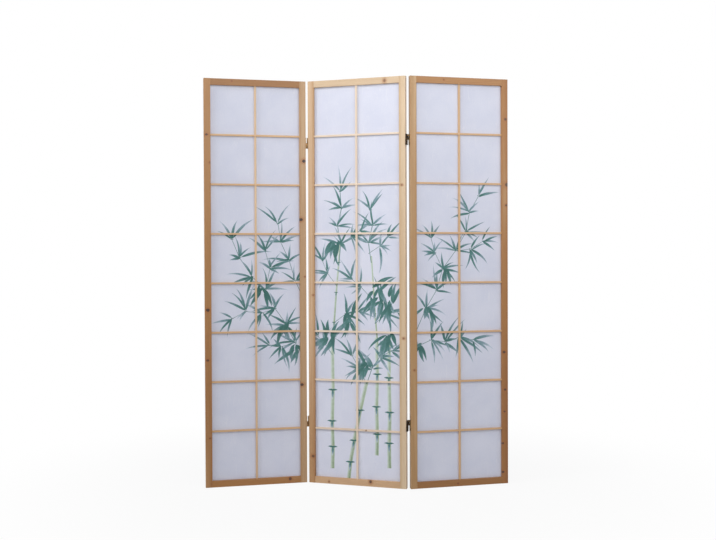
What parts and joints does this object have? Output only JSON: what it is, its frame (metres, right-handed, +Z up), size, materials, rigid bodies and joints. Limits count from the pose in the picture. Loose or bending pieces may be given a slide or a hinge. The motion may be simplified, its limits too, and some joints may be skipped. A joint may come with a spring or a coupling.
{
  "type": "folding screen",
  "caption": "Free-standing folding room screen: pine lattice leaves backed with printed paper, joined by two-way hinges so that they fold both ways.",
  "frame": {"origin": "middle of the footprint of the standing zigzag, on the floor", "axes": "+Z up the leaves; X along the row of leaves; the lattice front faces -Y"},
  "size_m": [1.3078, 0.169, 1.75],
  "materials": {
    "frame_pine": "clear satin lacquer on knotty pine",
    "lattice_pine": "clear satin lacquer on pine",
    "paper_sheet": "matt laminated rice paper with a printed bamboo pattern",
    "hinge_metal": "antique bronze",
    "pin_metal": "dark bronzed",
    "screw_metal": "antique bronze"
  },
  "bodies": {
    "left_panel": {"left_panel_left_stile": "frame_pine", "left_panel_right_stile": "frame_pine", "left_panel_bottom_rail": "frame_pine", "left_panel_top_rail": "frame_pine", "left_panel_centre_bar": "lattice_pine", "left_panel_cross_bar_1": "lattice_pine", "left_panel_cross_bar_2": "lattice_pine", "left_panel_cross_bar_3": "lattice_pine", "left_panel_cross_bar_4": "lattice_pine", "left_panel_cross_bar_5": "lattice_pine", "left_panel_cross_bar_6": "lattice_pine", "left_panel_cross_bar_7": "lattice_pine", "left_panel_paper": "paper_sheet", "left_panel_beads": "frame_pine", "left_panel_hinge_screws": "screw_metal", "left_seam_lower_hinge_left_plate": "hinge_metal", "left_seam_upper_hinge_left_plate": "hinge_metal"},
    "centre_panel": {"centre_panel_left_stile": "frame_pine", "centre_panel_right_stile": "frame_pine", "centre_panel_bottom_rail": "frame_pine", "centre_panel_top_rail": "frame_pine", "centre_panel_centre_bar": "lattice_pine", "centre_panel_cross_bar_1": "lattice_pine", "centre_panel_cross_bar_2": "lattice_pine", "centre_panel_cross_bar_3": "lattice_pine", "centre_panel_cross_bar_4": "lattice_pine", "centre_panel_cross_bar_5": "lattice_pine", "centre_panel_cross_bar_6": "lattice_pine", "centre_panel_cross_bar_7": "lattice_pine", "centre_panel_paper": "paper_sheet", "centre_panel_beads": "frame_pine", "centre_panel_hinge_screws": "screw_metal", "left_seam_lower_hinge_right_plate": "hinge_metal", "left_seam_upper_hinge_right_plate": "hinge_metal", "right_seam_lower_hinge_left_plate": "hinge_metal", "right_seam_upper_hinge_left_plate": "hinge_metal"},
    "right_panel": {"right_panel_left_stile": "frame_pine", "right_panel_right_stile": "frame_pine", "right_panel_bottom_rail": "frame_pine", "right_panel_top_rail": "frame_pine", "right_panel_centre_bar": "lattice_pine", "right_panel_cross_bar_1": "lattice_pine", "right_panel_cross_bar_2": "lattice_pine", "right_panel_cross_bar_3": "lattice_pine", "right_panel_cross_bar_4": "lattice_pine", "right_panel_cross_bar_5": "lattice_pine", "right_panel_cross_bar_6": "lattice_pine", "right_panel_cross_bar_7": "lattice_pine", "right_panel_paper": "paper_sheet", "right_panel_beads": "frame_pine", "right_panel_hinge_screws": "screw_metal", "right_seam_lower_hinge_right_plate": "hinge_metal", "right_seam_upper_hinge_right_plate": "hinge_metal"},
    "left_links": {"left_seam_lower_hinge_link": "hinge_metal", "left_seam_upper_hinge_link": "hinge_metal", "left_seam_hinge_pins": "pin_metal"},
    "right_links": {"right_seam_lower_hinge_link": "hinge_metal", "right_seam_upper_hinge_link": "hinge_metal", "right_seam_hinge_pins": "pin_metal"}
  },
  "joints": [
    {"name": "left_reverse_fold", "type": "hinge", "parent": "centre_panel", "child": "left_links", "pos_m": [-0.20892, 0.08107, 0.875], "axis": [0, 0, -1], "range_deg": [0, 90]},
    {"name": "left_fold", "type": "hinge", "parent": "left_links", "child": "left_panel", "pos_m": [-0.21638, 0.05826, 0.875], "axis": [0, 0, 1], "range_deg": [-31.3, 148.7]},
    {"name": "right_reverse_fold", "type": "hinge", "parent": "centre_panel", "child": "right_links", "pos_m": [0.20993, -0.08107, 0.875], "axis": [0, 0, -1], "range_deg": [0, 90]},
    {"name": "right_fold", "type": "hinge", "parent": "right_links", "child": "right_panel", "pos_m": [0.21738, -0.05826, 0.875], "axis": [0, 0, 1], "range_deg": [-32, 148]}
  ]
}
